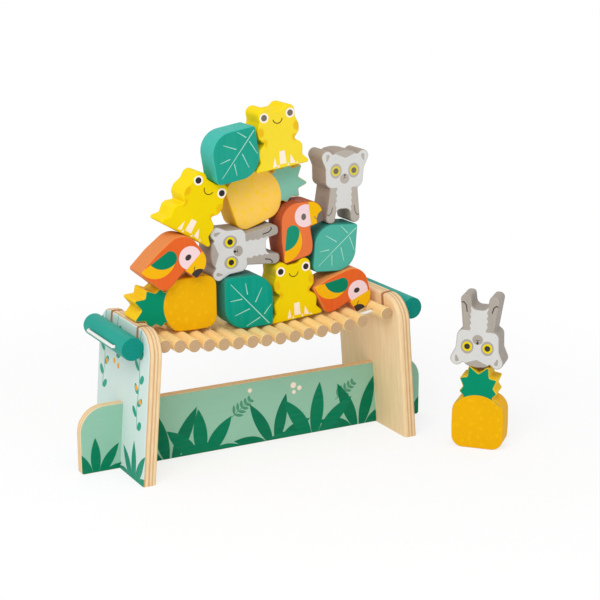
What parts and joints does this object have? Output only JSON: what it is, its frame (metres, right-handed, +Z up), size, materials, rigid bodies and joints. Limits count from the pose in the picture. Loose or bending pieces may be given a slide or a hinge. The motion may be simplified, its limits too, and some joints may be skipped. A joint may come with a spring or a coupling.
{
  "type": "stacking balance game",
  "caption": "Toy rope bridge with round wooden slats on an elastic cord between two leaning plywood uprights, piled with painted wooden animal, fruit and leaf blocks.",
  "frame": {"origin": "on the floor, in the middle of the bridge, on the bottom edge of its base board", "axes": "+X along the bridge, from the left upright to the right one; +Y to the back, away from the painted faces; +Z up"},
  "size_m": [0.3249, 0.1634, 0.2729],
  "materials": {
    "upright_ply": "satin, printed outside",
    "board_ply": "satin, printed",
    "slat_wood": "bare, sanded",
    "cord_white": "braided",
    "rod_teal": "satin paint",
    "pineapple_gold": "satin paint",
    "leaf_teal": "satin paint",
    "frog_yellow": "satin paint",
    "parrot_orange": "satin paint",
    "lemur_grey": "satin paint"
  },
  "bodies": {
    "root": {"upright_left": "upright_ply", "upright_right": "upright_ply", "base_board": "board_ply", "slat_01": "slat_wood", "slat_02": "slat_wood", "slat_03": "slat_wood", "slat_04": "slat_wood", "slat_05": "slat_wood", "slat_06": "slat_wood", "slat_07": "slat_wood", "slat_08": "slat_wood", "slat_09": "slat_wood", "slat_10": "slat_wood", "slat_11": "slat_wood", "slat_12": "slat_wood", "slat_13": "slat_wood", "slat_14": "slat_wood", "slat_15": "slat_wood", "slat_16": "slat_wood", "elastic_cord": "cord_white", "end_rod_left": "rod_teal", "end_rod_right": "rod_teal", "pineapple_1": "pineapple_gold", "leaf_1": "leaf_teal", "frog_1": "frog_yellow", "parrot_1": "parrot_orange", "parrot_2": "parrot_orange", "lemur_1": "lemur_grey", "parrot_3": "parrot_orange", "leaf_2": "leaf_teal", "frog_2": "frog_yellow", "pineapple_2": "pineapple_gold", "lemur_2": "lemur_grey", "leaf_3": "leaf_teal", "frog_3": "frog_yellow", "pineapple_3": "pineapple_gold", "lemur_3": "lemur_grey"}
  },
  "joints": []
}
